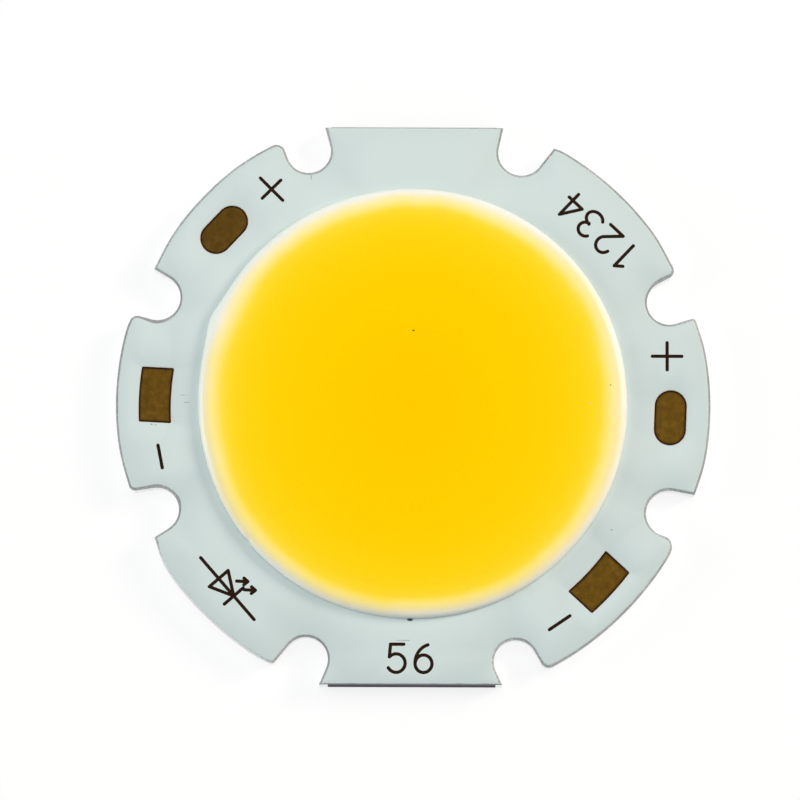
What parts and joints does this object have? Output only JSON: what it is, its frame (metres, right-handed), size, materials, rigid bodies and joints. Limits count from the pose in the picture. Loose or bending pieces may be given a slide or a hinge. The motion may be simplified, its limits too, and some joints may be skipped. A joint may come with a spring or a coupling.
{
  "type": "led module",
  "caption": "Round chip-on-board LED light module on a notched aluminium disc, with a yellow phosphor field inside a white silicone ring and solder pads near its rim.",
  "frame": {"origin": "middle of the board, on its back face", "axes": "+Z out of the light-emitting side; the two snapped flats face +Y and -Y; +X points past the plus pad on the right"},
  "size_m": [0.028, 0.0266, 0.0018],
  "materials": {
    "plate_aluminium": "rolled and punched",
    "dielectric_resin": "filled epoxy, cut edge",
    "track_copper": "copper with an organic coating, brown",
    "white_mask": "printed lacquer, satin",
    "white_silicone": "cured silicone, smooth",
    "phosphor_silicone": "cured silicone with phosphor powder",
    "die_crystal": "polished crystal",
    "bond_gold": "drawn wire"
  },
  "bodies": {
    "root": {"base_plate": "plate_aluminium", "dielectric_layer": "dielectric_resin", "anode_track": "track_copper", "cathode_track": "track_copper", "solder_mask": "white_mask", "dam_ring": "white_silicone", "phosphor_fill": "phosphor_silicone", "led_die_01": "die_crystal", "led_die_02": "die_crystal", "led_die_03": "die_crystal", "led_die_04": "die_crystal", "led_die_05": "die_crystal", "led_die_06": "die_crystal", "led_die_07": "die_crystal", "led_die_08": "die_crystal", "led_die_09": "die_crystal", "led_die_10": "die_crystal", "led_die_11": "die_crystal", "led_die_12": "die_crystal", "led_die_13": "die_crystal", "led_die_14": "die_crystal", "led_die_15": "die_crystal", "led_die_16": "die_crystal", "led_die_17": "die_crystal", "led_die_18": "die_crystal", "led_die_19": "die_crystal", "led_die_20": "die_crystal", "bond_wire_01": "bond_gold", "bond_wire_02": "bond_gold", "bond_wire_03": "bond_gold", "bond_wire_04": "bond_gold", "bond_wire_05": "bond_gold", "bond_wire_06": "bond_gold", "bond_wire_07": "bond_gold", "bond_wire_08": "bond_gold", "bond_wire_09": "bond_gold", "bond_wire_10": "bond_gold", "bond_wire_11": "bond_gold", "bond_wire_12": "bond_gold", "bond_wire_13": "bond_gold", "bond_wire_14": "bond_gold", "bond_wire_15": "bond_gold", "bond_wire_16": "bond_gold", "bond_wire_17": "bond_gold", "bond_wire_18": "bond_gold", "bond_wire_19": "bond_gold", "bond_wire_20": "bond_gold", "bond_wire_21": "bond_gold", "bond_wire_22": "bond_gold"}
  },
  "joints": []
}
